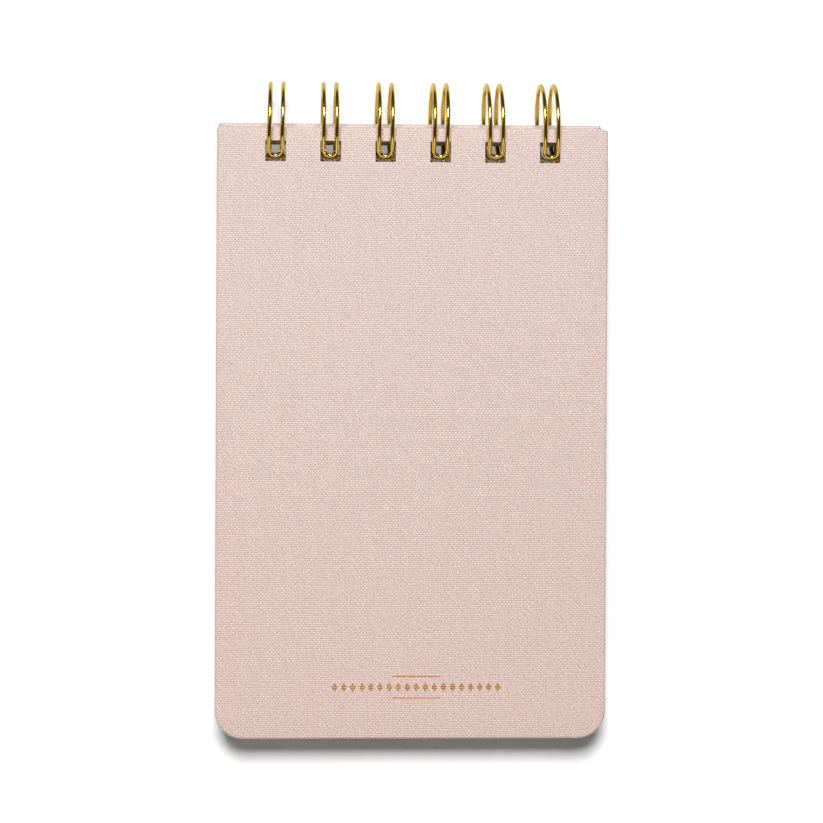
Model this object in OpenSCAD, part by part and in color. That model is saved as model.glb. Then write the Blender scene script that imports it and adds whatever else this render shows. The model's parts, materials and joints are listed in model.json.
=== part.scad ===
// Top-bound pocket notebook: two cloth-covered board covers and a block of ruled
// sheets on a closed twin-loop wire. All lengths are in millimetres.
// Row frame: +X across the cover, +Y towards the binding, +Z out of the back cover.
// The origin is under the middle of the notebook, level with the lowest point of the loops.

/* [Covers] */
// Width of each cover
cover_w = 90.5; // [88:0.5:96]
// Height of each cover, from its top edge by the wire to its foot
cover_h = 141.3; // [120:0.1:160]
// Thickness of a finished cover
cover_t = 2.2; // [1.8:0.1:2.4]
// Radius of the two corners at the foot
foot_r = 6.5; // [3:0.5:8]
// Radius of the two corners by the wire
head_r = 0.8; // [0.4:0.1:2]
// How far the front cover has slid towards the wire
front_slip = 1.9; // [1.5:0.1:1.9]

/* [Cover make-up] */
// Thickness of the book cloth
cloth_t = 0.25; // [0.2:0.05:0.3]
// Width of the cloth turned in behind the board
turn_in = 14; // [10:1:18]
// Thickness of the pasted-down lining paper
lining_t = 0.15; // [0.1:0.05:0.2]
// How far the lining stops short of the cover's edge
lining_inset = 2.5; // [2:0.5:4]

/* [Sheets] */
// How far the covers stand out past the sheets
overhang = 0.8; // [0.5:0.1:1.5]
// Thickness of the sheets that stay with the back cover
block_t = 6.4; // [5:0.1:6.4]
// Thickness of the sheet that is turned halfway
leaf_t = 0.15; // [0.1:0.05:0.2]
// Thickness of the first sheets, which go over with the front cover
first_t = 0.6; // [0.4:0.1:0.6]
// Gap between one turning bundle and the next
leaf_gap = 0.1; // [0.1:0.05:0.15]

/* [Binding wire] */
// Number of twin loops
loops = 6; // [4:1:6]
// Distance from one twin loop to the next, two to the inch
pitch = 12.7; // [12.7:0.1:13]
// Outer diameter of a closed loop
loop_d = 18.5; // [18.5:0.1:18.8]
// Diameter of the wire
wire_d = 1.0; // [0.9:0.1:1]
// Distance between the two legs of a loop, centre to centre
leg_gap = 3.0; // [2.8:0.1:3]
// Radius of the bend from a leg into a link
bend_r = 1.2; // [1.1:0.1:1.3]
// Angle round the loop at which its legs leave the circle for the tip, in degrees
tip_a = 128; // [126:1:130]
// Length of the straight part of a leg before the rounded tip
tip_l = 2.2; // [2:0.1:2.4]

/* [Punching] */
// Side of each square hole
hole = 4.7; // [4.7:0.05:4.8]
// Strip of cover between a hole and the top edge
hole_margin = 3.2; // [3.1:0.1:3.4]

/* [Foil stamp] */
// Length of the two short rules
rule_l = 11; // [8:1:16]
// Width of a foil line
foil_w = 0.35; // [0.3:0.05:0.5]
// Depth of the foil, pressed into the cloth
foil_t = 0.05; // [0.04:0.01:0.08]
// Number of lozenges in the row between the rules
lozenges = 19; // [5:2:21]
// How far the stamp sits to the right of the cover's middle
stamp_x = 1.3; // [0:0.1:3]

/* [Hidden] */
$fn = 64;

// Radius of a loop's centre line.
ring_r = (loop_d - wire_d) / 2;
// The wire seam needs this much room between the last sheet and the back cover.
seam_gap = wire_d + 0.2;
fine = 0.05; // clearance where faces only just miss
past = 1;    // how far a cutting shape runs past what it cuts
joint_l = 0.1;  // how far the straight part of a leg runs into the bends at its ends
joint_d = 0.02; // how much thinner it is than they are, so that it stays inside them there

// Heights above the loops' centre. The back cover's outer face is lower than the loops.
back_z = 5.5 - cover_t; // inner face of the back cover, over the seam
block_z = back_z - seam_gap - block_t;
leaf_z = block_z - leaf_gap - leaf_t;
first_z = leaf_z - leaf_gap - first_t;
front_z = first_z - leaf_gap; // inner face of the front cover

// Distances from the loops' centre towards the foot are negative.
hole_y = -(loop_d / 2 + 0.4) + hole / 2;
back_head = hole_y + hole / 2 + hole_margin;
back_foot = back_head - cover_h;
sheet_w = cover_w - 2 * overhang;
sheet_head = back_head - overhang;
sheet_h = cover_h - 2 * overhang;
front_head = back_head + front_slip;
front_hole_y = hole_y + front_slip;
// The back cover touches the sheets at the foot and clears the seam at the wire.
back_tilt = atan((seam_gap - fine) / (hole_y - back_foot));

// The row frame's origin, seen from the loops' centre.
origin_y = (back_foot + loop_d / 2) / 2;
origin_z = -loop_d / 2;

// Seam of the wire: the links lie just inside the back cover, and the tips end in its holes,
// above the links.
link_z = back_z - fine - wire_d / 2;
root_a = 180 - asin(link_z / norm([ring_r, bend_r])) + atan(bend_r / ring_r);
link_y = ring_r * cos(root_a) + bend_r * sin(root_a);
end_tail = 1.0; // length of each cut end of the wire

lozenge_step = 2.1;
lozenge_w = 1.5;
lozenge_h = 2.1;
stamp_y = back_foot + 12;
rule_gap = 2.4; // from the row of lozenges to each rule

function loop_x(i) = (i - (loops + 1) / 2) * pitch;

// ---- placing ----

module in_frame() {
    translate([0, -origin_y, -origin_z]) children();
}

// Turns flat shapes into the plane of a loop: drawn x is +Y, drawn y is +Z.
module loop_plane() {
    rotate([90, 0, 90]) children();
}

// A cover is drawn with its inner face at z = 0. The back cover leans on the seam and the foot.
module back_place() {
    in_frame() translate([0, hole_y, back_z]) rotate([back_tilt, 0, 0]) translate([0, -hole_y, 0])
        children();
}

// The front cover is the same cover turned over, flat on the sheets.
module front_place() {
    in_frame() translate([0, 0, front_z]) mirror([0, 0, 1]) children();
}

// ---- outlines ----

// A sheet with its head at y = head, rounded corners, and its foot h below.
module sheet_outline(w, h, head, foot_round, head_round) {
    translate([-w / 2 + foot_round, head - h]) square([w - 2 * foot_round, h - head_round]);
    translate([-w / 2, head - h + foot_round]) square([w, h - foot_round - head_round]);
    translate([-w / 2 + head_round, head - h / 2]) square([w - 2 * head_round, h / 2]);
    for (side = [-1, 1]) {
        translate([side * (w / 2 - foot_round), head - h + foot_round]) circle(foot_round);
        translate([side * (w / 2 - head_round), head - head_round]) circle(head_round);
    }
}

// The row of square holes along the head.
module hole_row(y) {
    for (i = [1 : loops])
        translate([loop_x(i) - hole / 2, y - hole / 2]) square(hole);
}

// A punched plate from z up to z + t.
module plate(w, h, head, foot_round, head_round, y, z, t) {
    translate([0, 0, z]) linear_extrude(t) difference() {
        sheet_outline(w, h, head, foot_round, head_round);
        hole_row(y);
    }
}

// A plate of the cover's outline, moved in from the edge on all sides.
module cover_plate(inset, head, y, z, t) {
    plate(cover_w - 2 * inset, cover_h - 2 * inset, head - inset,
        max(foot_r - inset, 0.5), max(head_r - inset, 0.4), y, z, t);
}

// ---- cover parts, drawn with the inner face at z = 0 and the outer at cover_t ----

module board(head, y) {
    cover_plate(cloth_t, head, y, cloth_t + lining_t, cover_t - 2 * cloth_t - lining_t);
}

module cloth(head, y) {
    difference() {
        cover_plate(0, head, y, lining_t, cover_t - lining_t);
        cover_plate(cloth_t, head, y, lining_t + cloth_t, cover_t - 2 * cloth_t - lining_t);
        translate([-cover_w / 2 + turn_in, head - cover_h + turn_in, lining_t - past])
            cube([cover_w - 2 * turn_in, cover_h - 2 * turn_in, cloth_t + past]);
    }
}

// The lining covers the turned-in cloth and fills the hollow between its edges.
module lining(head, y) {
    cover_plate(lining_inset, head, y, 0, lining_t);
    translate([-cover_w / 2 + turn_in, head - cover_h + turn_in, lining_t])
        cube([cover_w - 2 * turn_in, cover_h - 2 * turn_in, cloth_t]);
}

// Two short rules with a row of lozenges between them.
module stamp_outline() {
    for (side = [-1, 1])
        translate([stamp_x - rule_l / 2, stamp_y + side * rule_gap - foil_w / 2]) square([rule_l, foil_w]);
    for (i = [0 : lozenges - 1])
        translate([stamp_x + (i - (lozenges - 1) / 2) * lozenge_step, stamp_y])
            polygon([[-lozenge_w / 2, 0], [0, -lozenge_h / 2], [lozenge_w / 2, 0], [0, lozenge_h / 2]]);
}

module stamp_solid(extra = 0) {
    translate([0, 0, cover_t - foil_t]) linear_extrude(foil_t + extra) stamp_outline();
}

module front_board() {
    color("tan") front_place() board(front_head, front_hole_y);
}

module front_cloth() {
    color("mistyrose") front_place() cloth(front_head, front_hole_y);
}

module front_lining() {
    color("ivory") front_place() lining(front_head, front_hole_y);
}

module back_board() {
    color("tan") back_place() board(back_head, hole_y);
}

module back_cloth() {
    color("mistyrose") back_place() difference() {
        cloth(back_head, hole_y);
        stamp_solid(past);
    }
}

module back_lining() {
    color("ivory") back_place() lining(back_head, hole_y);
}

module foil_stamp() {
    color("goldenrod") back_place() stamp_solid();
}

// ---- sheets ----

module sheets(z, t) {
    color("ivory") in_frame()
        plate(sheet_w, sheet_h, sheet_head, foot_r - overhang, 0.5, hole_y, z, t);
}

module page_block() {
    sheets(block_z, block_t);
}

module turning_sheet() {
    sheets(leaf_z, leaf_t);
}

module first_sheets() {
    sheets(first_z, first_t);
}

// ---- binding wire ----

// A tube bent round an arc of radius r from angle a1 to a2, drawn in the loop's plane.
module bent_wire(r, a1, a2) {
    rotate([0, 0, a1]) rotate_extrude(angle = a2 - a1) translate([r, 0]) circle(wire_d / 2);
}

// Puts children at angle a on the loop, with drawn x across the legs and drawn y along the wire.
module on_loop(a) {
    loop_plane() rotate([0, 0, a]) translate([ring_r, 0, 0]) rotate([0, -90, 0]) children();
}

// One twin loop: two legs with straight ends, the rounded tip that joins them, and the bends
// into the links.
module twin_loop() {
    for (side = [-1, 1]) {
        translate([side * leg_gap / 2, 0, 0]) loop_plane() bent_wire(ring_r, root_a - 360, tip_a);
        on_loop(tip_a) translate([side * leg_gap / 2, -joint_l, 0]) rotate([-90, 0, 0])
            cylinder(h = tip_l + 2 * joint_l, d = wire_d - joint_d);
        on_loop(root_a) translate([side * (leg_gap / 2 + bend_r), 0, 0])
            bent_wire(bend_r, side < 0 ? -90 : 180, side < 0 ? 0 : 270);
    }
    on_loop(tip_a) translate([0, tip_l, 0]) bent_wire(leg_gap / 2, 0, 180);
}

module wire_loop(i) {
    color("gold") in_frame() translate([loop_x(i), 0, 0]) twin_loop();
}

// A straight piece along the seam, from x to x + length.
module seam_wire(x, length) {
    translate([x, link_y, link_z]) rotate([0, 90, 0]) cylinder(h = length, d = wire_d);
}

module wire_link(i) {
    color("gold") in_frame()
        seam_wire(loop_x(i) + leg_gap / 2 + bend_r, pitch - leg_gap - 2 * bend_r);
}

module wire_ends() {
    color("gold") in_frame() {
        seam_wire(loop_x(1) - leg_gap / 2 - bend_r - end_tail, end_tail);
        seam_wire(loop_x(loops) + leg_gap / 2 + bend_r, end_tail);
    }
}

front_board();
front_cloth();
front_lining();
back_board();
back_cloth();
back_lining();
foil_stamp();
page_block();
turning_sheet();
first_sheets();
for (i = [1 : loops])
    wire_loop(i);
for (i = [1 : loops - 1])
    wire_link(i);
wire_ends();
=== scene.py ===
import json
import math
import random

import bmesh
import bpy
from mathutils import Matrix, Vector


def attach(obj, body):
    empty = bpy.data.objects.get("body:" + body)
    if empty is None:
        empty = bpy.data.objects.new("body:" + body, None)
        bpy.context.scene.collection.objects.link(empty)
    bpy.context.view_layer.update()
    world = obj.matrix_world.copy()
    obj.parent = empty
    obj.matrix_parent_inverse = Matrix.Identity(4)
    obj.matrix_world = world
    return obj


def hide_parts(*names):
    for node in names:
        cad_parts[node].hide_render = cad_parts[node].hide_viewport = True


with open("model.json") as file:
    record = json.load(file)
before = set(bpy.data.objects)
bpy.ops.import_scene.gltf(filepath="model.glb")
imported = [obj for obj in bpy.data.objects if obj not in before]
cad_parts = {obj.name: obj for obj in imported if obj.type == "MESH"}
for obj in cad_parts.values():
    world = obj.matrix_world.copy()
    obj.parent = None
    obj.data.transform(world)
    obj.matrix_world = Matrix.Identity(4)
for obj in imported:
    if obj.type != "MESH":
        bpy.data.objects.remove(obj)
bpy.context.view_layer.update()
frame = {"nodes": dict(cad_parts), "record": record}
MM = 0.001

# ---- sizes, in millimetres, measured from the loops' common axis ----

AXIS = Vector(frame["record"]["behaviour"]["joints"][0]["pos_m"]) / MM
COVER_W, COVER_H, COVER_T = 90.5, 141.3, 2.2
FOOT_R, HEAD_R = 6.5, 0.8
CLOTH_T, LINING_T, TURN_IN = 0.25, 0.15, 14.0
LOOPS, PITCH, LOOP_D, WIRE_D = 6, 12.7, 18.5, 1.0
LEG_GAP, BEND_R, TIP_ANGLE, TIP_L, END_TAIL = 3.0, 1.2, 128.0, 2.2, 1.0
HOLE, HOLE_Y = 4.7, -7.3
BACK_HEAD, FRONT_SLIP = -1.75, 1.9
BACK_Z, FRONT_Z = 3.3, -5.35
# the finest gap, where parts all but touch
FINE = 0.05
# the back cover lies on the wire's seam near its head and on the sheets at its foot
SEAM_GAP = WIRE_D + 0.2
BACK_TILT = math.atan((SEAM_GAP - FINE) / (HOLE_Y - (BACK_HEAD - COVER_H)))
LINK_Z = BACK_Z - FINE - WIRE_D / 2

# sheets: the covers' overhang, the gap between two piles, the piles' thicknesses, single sheets
OVERHANG, SHEET_GAP = 0.8, 0.1
BLOCK_T, LEAF_T, FIRST_T = 6.4, 0.15, 0.6
SHEET_PITCH, SHEET_T, LEAF_SHEET_T = 0.1, 0.092, 0.11
# rules: their step, their width as a share of it, the margin at the head, how many steps
RULE_STEP, RULE_W, RULES_TOP, RULES = 6.35, 0.045, 16.0, 19.5

# book cloth: its weave, and how much paler and cooler the cloth is painted for each mm towards the
# head, as a painted sheen
WARP_PITCH, WEFT_PITCH = 0.404, 0.465
PAINTED_SHEEN_TO_HEAD = -0.0035


def loop_x(i):
    return (i - (LOOPS - 1) / 2) * PITCH


# ---- camera, floor and light ----

camera_data = bpy.data.cameras.new("camera")
camera_data.lens = 100.6
camera_data.sensor_width = 36
camera_data.shift_x = 0.043
camera_data.shift_y = -0.075
camera_data.clip_start = 0.01
camera = bpy.data.objects.new("camera", camera_data)
camera.location = (-30.6 * MM, 13.75 * MM, 544.75 * MM)
camera.rotation_euler = (0, math.radians(-2.4), math.radians(0.25))
bpy.context.collection.objects.link(camera)
bpy.context.scene.camera = camera
bpy.context.scene.view_settings.view_transform = "Standard"


class Nodes:
    """Short names for the shader nodes used below. Any input takes a socket or a value."""

    def __init__(self, tree):
        self.tree = tree

    def make(self, kind, **props):
        n = self.tree.nodes.new(kind)
        for k, v in props.items():
            setattr(n, k, v)
        return n

    def put(self, socket, value):
        if isinstance(value, bpy.types.NodeSocket):
            self.tree.links.new(value, socket)
        else:
            socket.default_value = value

    def math(self, op, *values, clamp=False):
        n = self.make("ShaderNodeMath", operation=op, use_clamp=clamp)
        for s, v in zip(n.inputs, values):
            self.put(s, v)
        return n.outputs[0]

    def vec(self, x, y, z=0.0):
        n = self.make("ShaderNodeCombineXYZ")
        for s, v in zip(n.inputs, (x, y, z)):
            self.put(s, v)
        return n.outputs[0]

    def noise(self, vector, scale, detail=2.0, roughness=0.5):
        n = self.make("ShaderNodeTexNoise")
        self.put(n.inputs["Vector"], vector)
        n.inputs["Scale"].default_value = scale
        n.inputs["Detail"].default_value = detail
        n.inputs["Roughness"].default_value = roughness
        return n.outputs[0]

    def chance(self, vector):
        """A number from 0 to 1 of its own for each whole-number vector."""
        n = self.make("ShaderNodeTexWhiteNoise", noise_dimensions="2D")
        self.put(n.inputs["Vector"], vector)
        return n.outputs["Value"]

    def scaled(self, vector, sx, sy, sz):
        n = self.make("ShaderNodeMapping")
        self.put(n.inputs["Vector"], vector)
        n.inputs["Scale"].default_value = (sx, sy, sz)
        return n.outputs[0]

    def remap(self, value, a, b, c, d):
        n = self.make("ShaderNodeMapRange")
        for s, v in zip(n.inputs, (value, a, b, c, d)):
            self.put(s, v)
        return n.outputs[0]

    def mix(self, factor, a, b, blend="MIX"):
        n = self.make("ShaderNodeMix", data_type="RGBA", blend_type=blend)
        self.put(n.inputs[0], factor)
        self.put(n.inputs[6], a)
        self.put(n.inputs[7], b)
        return n.outputs[2]

    def bump(self, height, distance, strength=1.0):
        n = self.make("ShaderNodeBump")
        n.inputs["Strength"].default_value = strength
        n.inputs["Distance"].default_value = distance
        self.put(n.inputs["Height"], height)
        return n.outputs["Normal"]

    def finish(self, color, roughness, normal=None, metallic=0.0, fade=None, **sockets):
        """The shader itself. Where fade is 1 the surface is clear."""
        b = self.make("ShaderNodeBsdfPrincipled")
        self.put(b.inputs["Base Color"], color)
        self.put(b.inputs["Roughness"], roughness)
        self.put(b.inputs["Metallic"], metallic)
        if normal is not None:
            self.put(b.inputs["Normal"], normal)
        for k, v in sockets.items():
            b.inputs[k.replace("_", " ")].default_value = v
        surface = b.outputs[0]
        if fade is not None:
            clear = self.make("ShaderNodeBsdfTransparent").outputs[0]
            both = self.make("ShaderNodeMixShader")
            for s, v in zip(both.inputs, (fade, surface, clear)):
                self.put(s, v)
            surface = both.outputs[0]
        self.put(self.make("ShaderNodeOutputMaterial").inputs["Surface"], surface)


def new_material(name):
    m = bpy.data.materials.new(name)
    m.use_nodes = True
    m.node_tree.nodes.clear()
    return m, Nodes(m.node_tree)


def rgba(r, g, b):
    return (r, g, b, 1.0)


def object_mm(n):
    """Where a point of the piece is at rest, in the row frame, in millimetres."""
    t = n.make("ShaderNodeTexCoord")
    return n.scaled(t.outputs["Object"], 1000, 1000, 1000)


def weave(n, where):
    """Plain weave: its height, 1 where a warp thread is on top, how light that spot is, and its
    uneven dyeing with a painted sheen towards the head.
    """
    xyz = n.make("ShaderNodeSeparateXYZ")
    n.put(xyz.inputs[0], where)
    # threads are nearly straight, but not evenly spaced
    drift_a = n.noise(n.scaled(where, 1.0, 0.12, 1.0), 0.28, 2)
    drift_b = n.noise(n.scaled(where, 0.10, 1.0, 1.0), 0.28, 2)
    a = n.math("DIVIDE", n.math("MULTIPLY_ADD", drift_a, 0.9, xyz.outputs[0]), WARP_PITCH)
    b = n.math("DIVIDE", n.math("MULTIPLY_ADD", drift_b, 0.9, xyz.outputs[1]), WEFT_PITCH)
    thread_a = n.math("FLOOR", a)
    thread_b = n.math("FLOOR", b)
    round_a = n.math("SINE", n.math("MULTIPLY", n.math("FRACT", a), math.pi))
    round_b = n.math("SINE", n.math("MULTIPLY", n.math("FRACT", b), math.pi))
    # warp and weft take turns on top, like the colours of a chessboard
    crossing = n.math("MULTIPLY", n.math("ADD", thread_a, thread_b), math.pi)
    half = n.math("MULTIPLY", n.math("COSINE", crossing), 0.5)
    up_a = n.math("MULTIPLY_ADD", half, round_b, 0.5)
    up_b = n.math("SUBTRACT", 0.5, n.math("MULTIPLY", half, round_a))
    # slubs along each thread, longer on the warp
    along_warp = n.vec(n.math("MULTIPLY", thread_a, 7.31), n.math("MULTIPLY", b, 0.10))
    along_weft = n.vec(n.math("MULTIPLY", a, 0.20), n.math("MULTIPLY", thread_b, 7.31))
    warp = n.noise(along_warp, 1.0, 2, 0.6)
    weft = n.noise(along_weft, 1.0, 2, 0.6)
    # a full crossing takes its room from the ones beside it
    next_a = n.math("ADD", thread_a, 1)
    next_b = n.math("ADD", thread_b, 1)
    beside = n.math("ADD", n.chance(n.vec(next_a, thread_b)), n.chance(n.vec(thread_a, next_b)))
    odd = n.math("MULTIPLY_ADD", beside, -0.5, n.chance(n.vec(thread_a, thread_b)))
    swell_a = n.math("MULTIPLY_ADD", warp, 0.5, n.math("MULTIPLY", odd, 0.3))
    swell_b = n.math("MULTIPLY_ADD", weft, 0.5, n.math("MULTIPLY", odd, -0.3))
    height_a = n.math("MULTIPLY", round_a, n.math("ADD", up_a, swell_a))
    height_b = n.math("MULTIPLY", round_b, n.math("ADD", up_b, swell_b))
    slub = n.math("MULTIPLY_ADD", warp, 0.25, n.math("MULTIPLY", weft, 0.1))
    fibre = n.math("MULTIPLY_ADD", n.noise(where, 3.0, 1), 1.7, -0.52)
    light = n.math("ADD", n.math("MULTIPLY_ADD", odd, 0.45, fibre), slub, clamp=True)
    # uneven dyeing, plus a painted sheen: the colour is painted paler and cooler towards the head
    dye_and_sheen = n.math("MULTIPLY_ADD", xyz.outputs[1], PAINTED_SHEEN_TO_HEAD, n.noise(where, 0.36, 2, 0.5))
    top = n.math("GREATER_THAN", height_a, height_b)
    return n.math("MAXIMUM", height_a, height_b), top, light, dye_and_sheen


def cloth_color(n, height, top, light, dye_and_sheen):
    """Pale threads with painted shade of deeper pink in the dips between them, uneven in brightness
    and dyeing, with a painted sheen towards the head.
    """
    upper = n.mix(top, rgba(0.94, 0.82, 0.765), rgba(0.795, 0.605, 0.555))
    # painted shade: the dips between the threads are painted darker and deeper pink
    base = n.mix(n.remap(height, 0.1, 0.9, 0.0, 1.0), rgba(0.51, 0.35, 0.32), upper)
    shade = n.mix(light, rgba(0.68, 0.62, 0.59), rgba(1.0, 1.0, 1.0))
    # the tint: uneven dyeing, and a painted sheen that makes the cloth paler and cooler towards the
    # head
    tint = n.mix(n.remap(dye_and_sheen, 0.0, 1.0, 0.0, 1.0), rgba(0.905, 0.985, 1.02), rgba(1.005, 0.935, 0.91))
    return n.mix(1.0, n.mix(1.0, base, shade, "MULTIPLY"), tint, "MULTIPLY")


def make_cloth():
    m, n = new_material("book_cloth")
    t = n.make("ShaderNodeTexCoord")
    height, top, light, dye_and_sheen = weave(n, t.outputs["UV"])
    fuzz = n.noise(t.outputs["UV"], 9.0, 3)
    normal = n.bump(n.math("ADD", height, n.math("MULTIPLY", fuzz, 0.25)), 0.07 * MM, 0.9)
    n.finish(
        cloth_color(n, height, top, light, dye_and_sheen),
        n.remap(height, 0, 1, 0.9, 0.66),
        normal,
        Sheen_Weight=0.18,
        Sheen_Roughness=0.45,
        Specular_IOR_Level=0.45,
    )
    return m


def make_foil():
    m, n = new_material("copper_foil")
    where = object_mm(n)
    height, top, light, dye_and_sheen = weave(n, where)
    worn = n.noise(where, 3.2, 3, 0.7)
    metal = n.mix(n.remap(worn, 0.35, 0.7, 0, 1), rgba(0.40, 0.18, 0.055), rgba(0.66, 0.36, 0.13))
    hold = n.math("ADD", n.math("MULTIPLY", height, 0.8), n.math("MULTIPLY", worn, 0.9))
    on = n.remap(hold, 0.62, 0.78, 0.0, 1.0)
    color = n.mix(on, cloth_color(n, height, top, light, dye_and_sheen), metal)
    n.finish(
        color,
        n.remap(worn, 0.3, 0.7, 0.55, 0.34),
        n.bump(height, 0.05 * MM, 0.8),
        metallic=n.math("MULTIPLY", on, 0.75),
    )
    return m


def make_gold():
    m, n = new_material("gold_wire")
    where = object_mm(n)
    drawn = n.noise(n.scaled(where, 0.35, 1.0, 1.0), 2.3, 4, 0.6)
    fine = n.noise(where, 11.0, 3, 0.6)
    color = n.mix(n.remap(drawn, 0.35, 0.7, 0, 1), rgba(0.95, 0.60, 0.075), rgba(1.0, 0.76, 0.165))
    rough = n.math("ADD", n.remap(drawn, 0.3, 0.7, 0.08, 0.16), n.math("MULTIPLY", fine, 0.05))
    n.finish(color, rough, n.bump(fine, 0.010 * MM, 0.5), metallic=1.0)
    return m


def ruled_lines(n, where):
    """1 on the printed lines, which are on the faces of the sheets only."""
    xyz = n.make("ShaderNodeSeparateXYZ")
    n.put(xyz.inputs[0], where)
    below_first = n.math("SUBTRACT", AXIS.y + BACK_HEAD - RULES_TOP, xyz.outputs[1])
    down = n.math("DIVIDE", below_first, RULE_STEP)
    line = n.math("LESS_THAN", n.math("FRACT", down), RULE_W)
    line = n.math("MULTIPLY", line, n.math("GREATER_THAN", down, 0.0))
    line = n.math("MULTIPLY", line, n.math("LESS_THAN", down, RULES))
    facing = n.make("ShaderNodeSeparateXYZ")
    n.put(facing.inputs[0], n.make("ShaderNodeTexCoord").outputs["Normal"])
    flat = n.math("GREATER_THAN", n.math("ABSOLUTE", facing.outputs[2]), 0.7)
    return n.math("MULTIPLY", line, flat)


def make_paper(name, ruled):
    m, n = new_material(name)
    where = object_mm(n)
    fibre = n.noise(n.scaled(where, 0.6, 1.0, 1.0), 3.0, 5, 0.7)
    cloud = n.noise(where, 0.12, 3, 0.5)
    color = n.mix(n.remap(fibre, 0.3, 0.7, 0, 1), rgba(0.80, 0.765, 0.68), rgba(0.865, 0.835, 0.76))
    color = n.mix(n.remap(cloud, 0.4, 0.6, 0, 0.35), color, rgba(0.83, 0.79, 0.70))
    if ruled:
        ink = n.math("MULTIPLY", ruled_lines(n, where), n.remap(fibre, 0.3, 0.7, 0.55, 0.85))
        color = n.mix(ink, color, rgba(0.33, 0.38, 0.45))
    roughness = n.remap(fibre, 0.3, 0.7, 0.92, 0.82)
    n.finish(color, roughness, n.bump(fibre, 0.02 * MM, 0.6), Specular_IOR_Level=0.25)
    return m


def make_board():
    m, n = new_material("grey_board")
    where = object_mm(n)
    layers = n.noise(n.scaled(where, 0.5, 0.5, 7.0), 2.0, 4, 0.6)
    flecks = n.noise(where, 5.0, 5, 0.75)
    color = n.mix(n.remap(layers, 0.35, 0.65, 0, 1), rgba(0.26, 0.175, 0.11), rgba(0.42, 0.31, 0.21))
    color = n.mix(n.remap(flecks, 0.52, 0.66, 0, 0.7), color, rgba(0.46, 0.38, 0.29))
    n.finish(color, n.remap(flecks, 0.3, 0.7, 0.95, 0.85), n.bump(layers, 0.08 * MM, 0.8))
    return m


# distances from the notebook's foot at which the floor starts to fade and is gone, in metres
FADE_CENTRE = (0.0, -0.07, 0.0)
FADE_START, FADE_END = 0.06, 0.28


def make_floor():
    """Pale and matt, fading out into the white surroundings away from the notebook's foot."""
    m, n = new_material("pale_floor")
    where = n.make("ShaderNodeTexCoord").outputs["Object"]
    grain = n.noise(where, 40.0, 3)
    far = n.make("ShaderNodeVectorMath", operation="DISTANCE")
    n.put(far.inputs[0], where)
    far.inputs[1].default_value = FADE_CENTRE
    n.finish(
        n.mix(grain, rgba(0.90, 0.90, 0.90), rgba(0.93, 0.93, 0.93)),
        0.9,
        fade=n.remap(far.outputs["Value"], FADE_START, FADE_END, 0.0, 1.0),
        Specular_IOR_Level=0.1,
    )
    return m


def make_object(name, verts, faces, material, uvs=None, smooth=True):
    """A mesh piece. verts are in millimetres in the row frame; uvs has one pair for each vertex."""
    mesh = bpy.data.meshes.new(name)
    mesh.from_pydata([Vector(v) * MM for v in verts], [], faces)
    if uvs:
        layer = mesh.uv_layers.new(name="weave")
        for loop in mesh.loops:
            layer.data[loop.index].uv = uvs[loop.vertex_index]
    mesh.materials.append(material)
    if smooth:
        mesh.polygons.foreach_set("use_smooth", [True] * len(mesh.polygons))
    mesh.update()
    obj = bpy.data.objects.new(name, mesh)
    bpy.context.collection.objects.link(obj)
    return obj


# the notebook rests on its loops and on its front cover's foot, so the floor slopes a little
FLOOR_REACH = 4000.0
FRONT_FOOT_Y, FRONT_FOOT_LIFT = -74.25, 1.7
floor_slope = FRONT_FOOT_LIFT / (AXIS.y - FRONT_FOOT_Y)
floor_verts = []
for x, y in ((-1, -1), (1, -1), (1, 1), (-1, 1)):
    floor_y = y * FLOOR_REACH
    floor_verts.append((x * FLOOR_REACH, floor_y, (AXIS.y - floor_y) * floor_slope))
floor = make_object("floor", floor_verts, [(0, 1, 2, 3)], make_floor())


def area_light(name, place, aim, size, power):
    data = bpy.data.lights.new(name, "AREA")
    data.shape = "RECTANGLE"
    data.size, data.size_y = size
    data.energy = power
    obj = bpy.data.objects.new(name, data)
    obj.location = place
    obj.rotation_euler = (Vector(aim) - Vector(place)).to_track_quat("-Z", "Y").to_euler()
    bpy.context.collection.objects.link(obj)


area_light("key", (-0.09, 0.65, 1.33), (0, 0, 0), (0.46, 0.46), 28.6)
area_light("side", (-1.2, 0.1, 0.75), (0, 0, 0), (0.6, 0.6), 0.6)
area_light("low", (0.0, -1.2, 0.64), (0, 0, 0), (0.75, 0.6), 2.1)

world = bpy.data.worlds.new("studio")
bpy.context.scene.world = world
world.use_nodes = True
wn = Nodes(world.node_tree)
world.node_tree.nodes.clear()
path = wn.make("ShaderNodeLightPath")
sky = wn.make("ShaderNodeBackground")
seen = wn.make("ShaderNodeBackground")
sky.inputs["Color"].default_value = rgba(0.96, 0.98, 1.0)
sky.inputs["Strength"].default_value = 0.042
seen.inputs["Color"].default_value = rgba(1.0, 1.0, 1.0)
seen.inputs["Strength"].default_value = 1.0
both = wn.make("ShaderNodeMixShader")
wn.put(both.inputs[0], path.outputs["Is Camera Ray"])
wn.put(both.inputs[1], sky.outputs[0])
wn.put(both.inputs[2], seen.outputs[0])
wn.put(wn.make("ShaderNodeOutputWorld").inputs["Surface"], both.outputs[0])


# ---- outlines ----

# the smallest radius that a corner keeps
SHARP_R = 0.02


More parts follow.
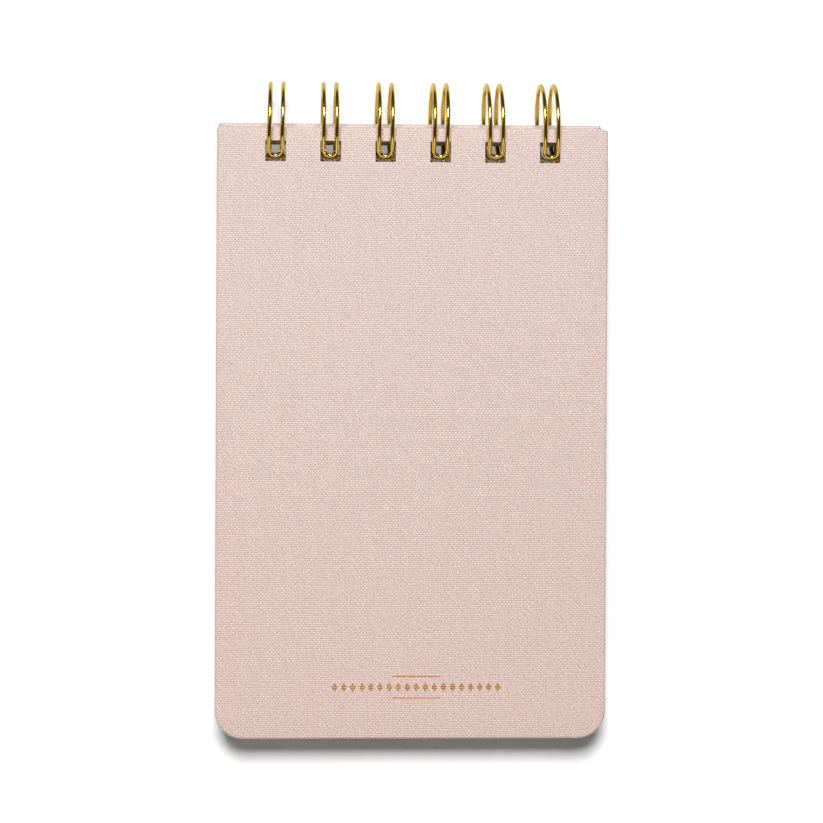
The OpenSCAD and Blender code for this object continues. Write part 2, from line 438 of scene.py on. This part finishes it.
def outline(inset, w, h, head, foot_r, head_r, steps=20):
    """Anticlockwise rounded outline with its head edge at y = head, moved in by inset all round."""
    points = []
    for cx, cy, r, start in (
        (w / 2 - foot_r, head - h + foot_r, foot_r, -90),
        (w / 2 - head_r, head - head_r, head_r, 0),
        (-w / 2 + head_r, head - head_r, head_r, 90),
        (-w / 2 + foot_r, head - h + foot_r, foot_r, 180),
    ):
        count = steps if r > 2 else 6
        left = max(r - inset, SHARP_R)
        # past the corner's own radius, the corner itself moves in
        past = max(inset - r + SHARP_R, 0.0)
        for k in range(count + 1):
            a = math.radians(start + 90 * k / count)
            x = cx + math.cos(a) * left - math.copysign(past, cx)
            y = cy + math.sin(a) * left - math.copysign(past, cy - (head - h / 2))
            points.append((x, y))
    return points


def square(x, y, side):
    s = side / 2
    return [(x - s, y - s), (x + s, y - s), (x + s, y + s), (x - s, y + s)]


def fill(loops):
    """Triangles of the flat region inside the first closed loop of points, outside the others."""
    bm = bmesh.new()
    edges = []
    for loop in loops:
        vs = [bm.verts.new((x, y, 0)) for x, y in loop]
        edges += [bm.edges.new((vs[i], vs[i - 1])) for i in range(len(vs))]
    bm.verts.index_update()
    bmesh.ops.triangle_fill(bm, use_beauty=True, use_dissolve=False, edges=edges, normal=(0, 0, 1))
    tris = []
    for f in bm.faces:
        t = [v.index for v in f.verts]
        tris.append(t if f.normal.z > 0 else t[::-1])
    bm.free()
    return tris


# ---- cloth-covered boards ----

# the cloth's outer face lies this far inside the cover's full thickness
CLOTH_DROP = 0.015
# it is rounded over the board's edges, and gathered on the inside within these insets
EDGE_R, EDGE_STEPS = 0.62, 5
TURN_FLAT = (1.1, 1.6, 2.1, 2.45, 2.9)
PLEAT_DEPTH, PLEATS, PLEAT_SPAN = 0.09, 36, 0.75
# it dips into a hole in these steps: how much larger than the hole, and how deep
RIM_START = 0.44
RIM = ((0.22, 0.03), (0.06, 0.10), (0.0, 0.2), (0.0, CLOTH_T - 0.005))


def edge_profile(low, high):
    """(inset, height) of the cloth from the outer face, round the edge, to its turned-in part."""
    quarter = [math.radians(90 * k / EDGE_STEPS) for k in range(EDGE_STEPS + 1)]
    outer = [(EDGE_R - EDGE_R * math.sin(t), high - EDGE_R + EDGE_R * math.cos(t)) for t in quarter]
    inner = [(EDGE_R - EDGE_R * math.cos(t), low + EDGE_R - EDGE_R * math.sin(t)) for t in quarter]
    return outer + inner + [(inset, low) for inset in TURN_FLAT]


def pleat(x, y, head):
    """How far the turned-in cloth stands up at a point, in small pleats round the foot corners."""
    out_x = abs(x) - (COVER_W / 2 - FOOT_R)
    out_y = (head - COVER_H + FOOT_R) - y
    if out_x <= 0 or out_y <= 0:
        return 0.0
    angle = math.atan2(out_x, out_y)
    near = max(0.0, 1 - abs(angle - math.pi / 4) / PLEAT_SPAN)
    return PLEAT_DEPTH * near * (0.5 + 0.5 * math.cos(angle * PLEATS))


def cloth_map(reach, size):
    """Where points this far past the outer face's edge were before the cloth was folded over."""
    if reach - EDGE_R < 3:
        return outline(EDGE_R - reach, *size)
    wider = 1 + 2 * (reach - EDGE_R) / COVER_W
    longer = 1 + (reach - EDGE_R) / COVER_H
    return [(x * wider, y * longer) for x, y in outline(0, *size)]


def cover_cloth(name, body, node, material, head, hole_y, place, flip):
    """The book cloth of a cover: over the outside, round the edges and turned in, with its holes.
    It is drawn with the cover's inner face at z = 0 and its outer face at COVER_T."""
    size = (COVER_W, COVER_H, head, FOOT_R, HEAD_R)
    low, high = LINING_T, COVER_T - CLOTH_DROP
    verts, uvs, faces = [], [], []

    def add_loop(points, z, uv_points=None):
        first = len(verts)
        for (x, y), (u, v) in zip(points, uv_points or points):
            verts.append((x, y, z))
            uvs.append((u, v + AXIS.y))
        return list(range(first, len(verts)))

    def bridge(a, b):
        for i in range(len(a)):
            faces.append((a[i - 1], a[i], b[i], b[i - 1]))

    def hole_square(i, out):
        return square(loop_x(i), hole_y, HOLE + out)

    # round the edges and onto the inside
    profile = edge_profile(low, high)
    reach, rings = 0.0, []
    for k, (inset, z) in enumerate(profile):
        if k:
            reach += math.dist(profile[k - 1], profile[k])
        ring = add_loop(outline(inset, *size), z, cloth_map(reach, size))
        if inset > 1.0:
            for v in ring:
                x, y, flat_z = verts[v]
                verts[v] = (x, y, flat_z - pleat(x, y, head))
        if rings:
            bridge(ring, rings[-1])
        rings.append(ring)

    # outer face, with the holes' rims
    loops = [outline(EDGE_R, *size)] + [hole_square(i, RIM_START) for i in range(LOOPS)]
    idx = list(rings[0])
    for points in loops[1:]:
        idx += add_loop(points, high)
    for t in fill(loops):
        faces.append(tuple(idx[k] for k in t))
    for i in range(LOOPS):
        start = len(rings[0]) + 4 * i
        prev = idx[start : start + 4]
        for out, depth in RIM:
            ring = add_loop(hole_square(i, out), high - depth)
            bridge(ring, prev)
            prev = ring

    # turned-in face on the inside, with the holes' rims
    inner = outline(TURN_FLAT[-1], *size)
    tuck = outline(TURN_IN, *size)
    loops = [inner, tuck] + [hole_square(i, 0.1) for i in range(LOOPS)]
    idx = list(rings[-1])
    for points in loops[1:]:
        idx += add_loop(points, low)
    for t in fill(loops):
        faces.append(tuple(idx[k] for k in t[::-1]))
    for i in range(LOOPS):
        start = len(inner) + len(tuck) + 4 * i
        ring = add_loop(hole_square(i, 0.0), low + FINE)
        last = add_loop(hole_square(i, 0.0), low + CLOTH_T)
        bridge(idx[start : start + 4], ring)
        bridge(ring, last)

    if flip:
        faces = [f[::-1] for f in faces]
    verts = [place @ Vector(v) for v in verts]
    obj = make_object(name, verts, faces, material, uvs)
    obj.data.set_sharp_from_angle(angle=math.radians(50))
    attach(obj, body)
    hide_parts(node)
    return obj


back_place = (
    Matrix.Translation(AXIS)
    @ Matrix.Translation((0, HOLE_Y, BACK_Z))
    @ Matrix.Rotation(BACK_TILT, 4, "X")
    @ Matrix.Translation((0, -HOLE_Y, 0))
)
front_place = Matrix.Translation(AXIS + Vector((0, 0, FRONT_Z))) @ Matrix.Diagonal((1, 1, -1, 1))

cloth = make_cloth()
cover_cloth(
    "back_cover_cloth", "back_cover", "back_cloth", cloth,
    head=BACK_HEAD, hole_y=HOLE_Y, place=back_place, flip=False,
)
cover_cloth(
    "front_cover_cloth", "front_cover", "front_cloth", cloth,
    head=BACK_HEAD + FRONT_SLIP, hole_y=HOLE_Y + FRONT_SLIP, place=front_place, flip=True,
)

# ---- sheets ----

SHEET_SIZE = (
    COVER_W - 2 * OVERHANG, COVER_H - 2 * OVERHANG,
    BACK_HEAD - OVERHANG, FOOT_R - OVERHANG, 0.5, 8,
)
# each sheet is turned by up to this much, in radians, about a point near its head
SHEET_TURN, TURN_CENTRE_Y = 0.0006, -20
PILE_LIFT = 0.005


def stack(name, body, node, material, bottom, count, thick, spread, seed):
    """A pile of separate punched sheets, each out of line with the next by up to spread."""
    rng = random.Random(seed)
    loops = [outline(0, *SHEET_SIZE)] + [square(loop_x(i), HOLE_Y, HOLE) for i in range(LOOPS)]
    points = [p for loop in loops for p in loop]
    n = len(points)
    tris = fill(loops)
    verts, faces = [], []
    for k in range(count):
        dx, dy = rng.uniform(-spread, spread), rng.uniform(-spread, spread)
        turn = rng.uniform(-SHEET_TURN, SHEET_TURN)
        low = bottom + k * SHEET_PITCH
        first = len(verts)
        for z in (low, low + thick):
            for x, y in points:
                moved_x = x + dx - turn * (y - TURN_CENTRE_Y)
                verts.append(AXIS + Vector((moved_x, y + dy + turn * x, z)))
        for t in tris:
            faces.append(tuple(first + n + i for i in t))
            faces.append(tuple(first + i for i in t[::-1]))
        at = first
        for loop in loops:
            m = len(loop)
            for i in range(m):
                a, b = at + (i - 1) % m, at + i
                faces.append((a, b, b + n, a + n))
            at += m
    obj = make_object(name, verts, faces, material, smooth=False)
    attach(obj, body)
    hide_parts(node)
    return obj


ruled = make_paper("ruled_paper", True)
plain = make_paper("lining_paper", False)
block_low = BACK_Z - SEAM_GAP - BLOCK_T
leaf_low = block_low - SHEET_GAP - LEAF_T
first_low = leaf_low - SHEET_GAP - FIRST_T
stack(
    "block_of_sheets", "book_block", "page_block", ruled,
    bottom=block_low + PILE_LIFT, count=64, thick=SHEET_T, spread=0.08, seed=11,
)
stack(
    "sheet_being_turned", "turning_sheet", "turning_sheet", ruled,
    bottom=leaf_low + 0.02, count=1, thick=LEAF_SHEET_T, spread=0.02, seed=5,
)
stack(
    "first_sheet_pile", "first_sheets", "first_sheets", ruled,
    bottom=first_low + PILE_LIFT, count=6, thick=SHEET_T, spread=0.03, seed=7,
)

# ---- binding wire ----

# each loop leans a little along the row: this far at its back, and this far at its tip
LEAN_BACK = (0.30, -0.15, 0.0, 0.0, -0.28, -0.30)
LEAN_TIP = (-0.10, -0.15, -0.15, -0.10, 0.18, 0.28)
LINK_X = LEG_GAP / 2 + BEND_R
RING = (LOOP_D - WIRE_D) / 2
ROOT = math.pi - math.asin(LINK_Z / math.hypot(RING, BEND_R)) + math.atan(BEND_R / RING)
TIP = math.radians(TIP_ANGLE)


def beside_ring(angle, across, along):
    """A point beside the loop's round centre line, moved along its tangent at that angle."""
    y = RING * math.cos(angle) - along * math.sin(angle)
    z = RING * math.sin(angle) + along * math.cos(angle)
    return Vector((across, y, z))


def leg(side):
    """One leg of a loop, from its link through the root bend and round the loop to its tip."""
    x = side * LEG_GAP / 2
    start = ROOT - 2 * math.pi
    points = []
    for k in range(9):
        t = math.pi / 2 * k / 8
        across = side * (LINK_X - BEND_R * math.sin(t))
        points.append(beside_ring(ROOT, across, -BEND_R * math.cos(t)))
    points += [beside_ring(start + (TIP - start) * k / 96, x, 0) for k in range(1, 97)]
    points += [beside_ring(TIP, x, TIP_L * k / 4) for k in range(1, 5)]
    return points


def wire_path():
    """Centre line of the whole wire, from cut end to cut end, measured from the loops' axis."""
    turns = [math.pi * k / 16 for k in range(1, 16)]
    r = LEG_GAP / 2
    tip_bend = [beside_ring(TIP, -r * math.cos(t), TIP_L + r * math.sin(t)) for t in turns]
    twin = leg(-1) + tip_bend + leg(1)[::-1]
    points = []
    for i in range(LOOPS):
        mean, swing = (LEAN_BACK[i] + LEAN_TIP[i]) / 2, (LEAN_BACK[i] - LEAN_TIP[i]) / 2
        for p in twin:
            # the root bends stay in line with the links
            link = min(1.0, abs(p.x) / LINK_X) ** 6
            lean = (mean + swing * p.y / RING) * (1 - link)
            points.append(p + Vector((loop_x(i) + lean, 0, 0)))
    points.insert(0, points[0] - Vector((END_TAIL, 0, 0)))
    points.append(points[-1] + Vector((END_TAIL, 0, 0)))
    return points


def tube(name, path, radius, sides, material):
    """A closed round tube along a path, with its two ends a little rounded off."""
    verts, faces = [], []
    up = Vector((0, 0, 1))
    for k, p in enumerate(path):
        ahead = path[min(k + 1, len(path) - 1)] - path[max(k - 1, 0)]
        ahead.normalize()
        across = up - ahead * up.dot(ahead)
        across.normalize()
        up = across
        side = ahead.cross(across)
        ring_r = radius * (0.82 if k in (0, len(path) - 1) else 1.0)
        for s in range(sides):
            a = 2 * math.pi * s / sides
            verts.append(AXIS + p + (across * math.cos(a) + side * math.sin(a)) * ring_r)
    for k in range(len(path) - 1):
        for s in range(sides):
            t = (s + 1) % sides
            faces.append((k * sides + s, k * sides + t, (k + 1) * sides + t, (k + 1) * sides + s))
    faces.append(tuple(range(sides))[::-1])
    faces.append(tuple(range(len(verts) - sides, len(verts))))
    return make_object(name, verts, faces, material)


gold = make_gold()
wire = tube("twin_loop_wire", wire_path(), WIRE_D / 2, 16, gold)
wire.data.set_sharp_from_angle(angle=math.radians(60))
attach(wire, "book_block")
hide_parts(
    *["wire_loop_%d" % i for i in range(1, LOOPS + 1)],
    *["wire_link_%d" % i for i in range(1, LOOPS)],
    "wire_ends",
)

# ---- CAD nodes that keep their shape ----

board = make_board()
materials = {
    "front_board": board,
    "back_board": board,
    "front_lining": plain,
    "back_lining": plain,
    "foil_stamp": make_foil(),
}
for node, material in materials.items():
    obj = frame["nodes"][node]
    obj.data.materials.clear()
    obj.data.materials.append(material)
